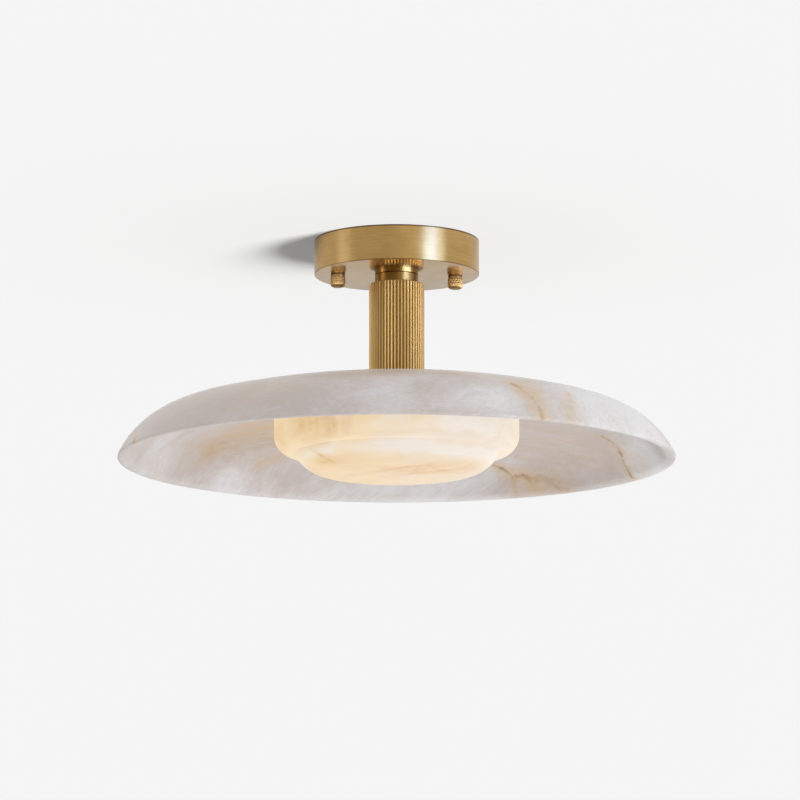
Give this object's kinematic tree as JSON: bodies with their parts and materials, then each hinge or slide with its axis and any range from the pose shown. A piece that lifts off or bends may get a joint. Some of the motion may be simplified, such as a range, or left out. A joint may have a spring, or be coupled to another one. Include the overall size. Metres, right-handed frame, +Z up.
{
  "type": "ceiling lamp",
  "caption": "Semi-flush ceiling lamp: a brass canopy and fluted stem carry a shallow domed alabaster shade, with a stepped alabaster diffuser that twists off on a bayonet.",
  "frame": {"origin": "centre of the canopy's rim, on the ceiling plane", "axes": "+Z up into the ceiling, along the lamp's axis; +X along the line of the two canopy studs"},
  "size_m": [0.4, 0.4, 0.1704],
  "materials": {
    "brass_brushed": "brushed, clear lacquered",
    "brass_fluted": "satin, fluted",
    "brass_turned": "turned, satin",
    "zinc_steel": "zinc plated",
    "earth_brass": "plain",
    "alabaster_shade": "honed, veined",
    "alabaster_diffuser": "honed, lit from inside",
    "silicone": "translucent, matte",
    "carrier_white": "powder coated",
    "aluminium_plain": "milled",
    "board_white": "white solder mask",
    "led_yellow": "phosphor",
    "plastic_white": "moulded",
    "nylon_natural": "moulded",
    "foam_grey": "foam tape",
    "lead_blue": "insulated wire",
    "lead_brown": "insulated wire",
    "lead_white": "round sheathed lead"
  },
  "bodies": {
    "fixture": {"ceiling_bracket": "zinc_steel", "bracket_studs": "zinc_steel", "stud_locknuts": "zinc_steel", "earth_washer": "zinc_steel", "earth_screw": "earth_brass", "canopy": "brass_brushed", "canopy_washer": "zinc_steel", "canopy_locknut": "zinc_steel", "threaded_tube": "zinc_steel", "tube_bushes": "nylon_natural", "collar": "brass_turned", "stem": "brass_fluted", "stem_gasket": "silicone", "shade": "alabaster_shade", "shade_bush": "silicone", "shade_gasket": "silicone", "clamp_disc": "zinc_steel", "shade_locknut": "zinc_steel", "carrier_spacer": "zinc_steel", "carrier_plate": "carrier_white", "carrier_locknut": "zinc_steel", "diffuser_seal": "silicone", "heat_sink": "aluminium_plain", "led_board": "board_white", "led_chips": "led_yellow", "led_screws": "zinc_steel", "led_connector": "plastic_white", "driver_pad": "foam_grey", "driver_case": "plastic_white", "driver_cover": "plastic_white", "terminal_block": "nylon_natural", "terminal_screws": "zinc_steel", "neutral_lead": "lead_blue", "live_lead": "lead_brown", "led_lead": "lead_white"},
    "left_nut": {"canopy_nut_left": "brass_turned"},
    "right_nut": {"canopy_nut_right": "brass_turned"},
    "diffuser": {"diffuser": "alabaster_diffuser", "diffuser_ring": "aluminium_plain"}
  },
  "joints": [
    {"name": "left_nut_turn", "type": "hinge", "parent": "fixture", "child": "left_nut", "pos_m": [-0.0425, 0, -0.0297], "axis": [0, 0, 1], "continuous": true},
    {"name": "right_nut_turn", "type": "hinge", "parent": "fixture", "child": "right_nut", "pos_m": [0.0425, 0, -0.0297], "axis": [0, 0, 1], "continuous": true},
    {"name": "diffuser_twist", "type": "hinge", "parent": "fixture", "child": "diffuser", "pos_m": [0, 0, -0.13344], "axis": [0, 0, -1], "range_deg": [0, 40]}
  ]
}
